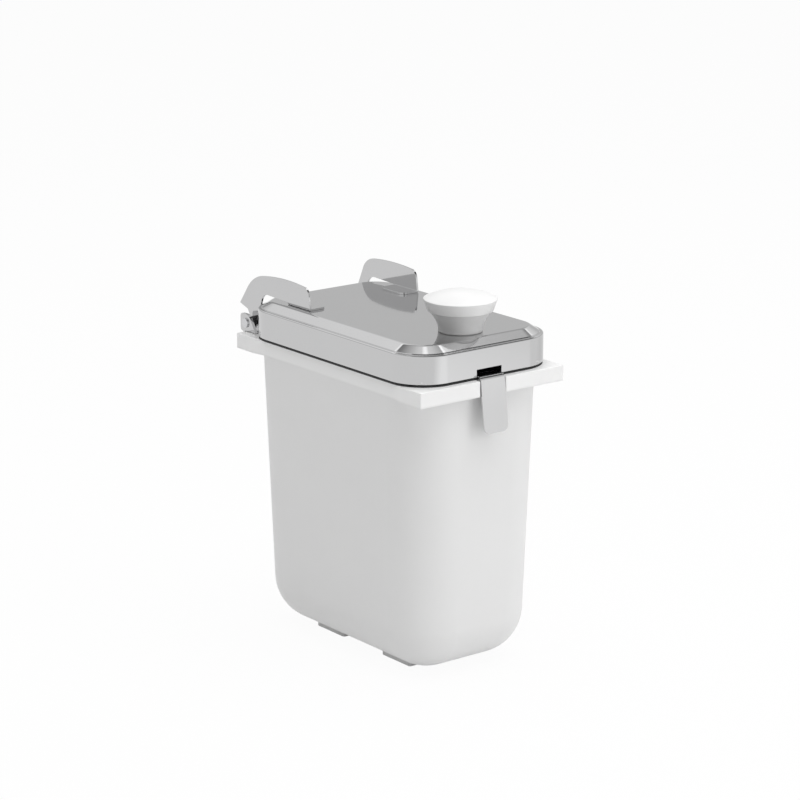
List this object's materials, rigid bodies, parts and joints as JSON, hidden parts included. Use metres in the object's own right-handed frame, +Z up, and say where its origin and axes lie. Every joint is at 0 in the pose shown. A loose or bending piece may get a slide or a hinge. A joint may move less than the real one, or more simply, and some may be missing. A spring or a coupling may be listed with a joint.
{
  "type": "lidded sauce container",
  "caption": "Tall white jar with a ribbed flange and a polished steel lid on a rear pin hinge, with a turned knob and a front clip.",
  "frame": {"origin": "middle of the object's footprint box, on the surface it stands on", "axes": "+Z up; the knob and clip side faces -Y and the hinge is at +Y; +X is to the right seen from the front"},
  "size_m": [0.123, 0.2294, 0.2647],
  "materials": {
    "white_plastic": "satin",
    "knob_plastic": "semi-gloss",
    "polished_steel": "mirror polished",
    "plain_steel": "satin",
    "bush_plastic": "satin"
  },
  "bodies": {
    "jar_body": {"jar": "white_plastic"},
    "frame_assembly": {"rim_frame": "polished_steel", "front_clip": "polished_steel", "hinge_bracket": "polished_steel", "hinge_pin": "plain_steel", "pin_retaining_ring": "plain_steel", "hinge_spacer_left": "bush_plastic", "hinge_spacer_right": "bush_plastic"},
    "lid_assembly": {"lid": "polished_steel", "lid_arm_left": "polished_steel", "lid_arm_right": "polished_steel", "knob": "knob_plastic", "knob_washer": "plain_steel", "knob_screw": "plain_steel"}
  },
  "joints": [
    {"name": "frame_lift", "type": "slide", "parent": "jar_body", "child": "frame_assembly", "axis": [0, 0, 1], "range_m": [0, 0.06]},
    {"name": "lid_hinge", "type": "hinge", "parent": "frame_assembly", "child": "lid_assembly", "pos_m": [0, 0.09885, 0.2166], "axis": [-1, 0, 0], "range_deg": [0, 113]}
  ]
}
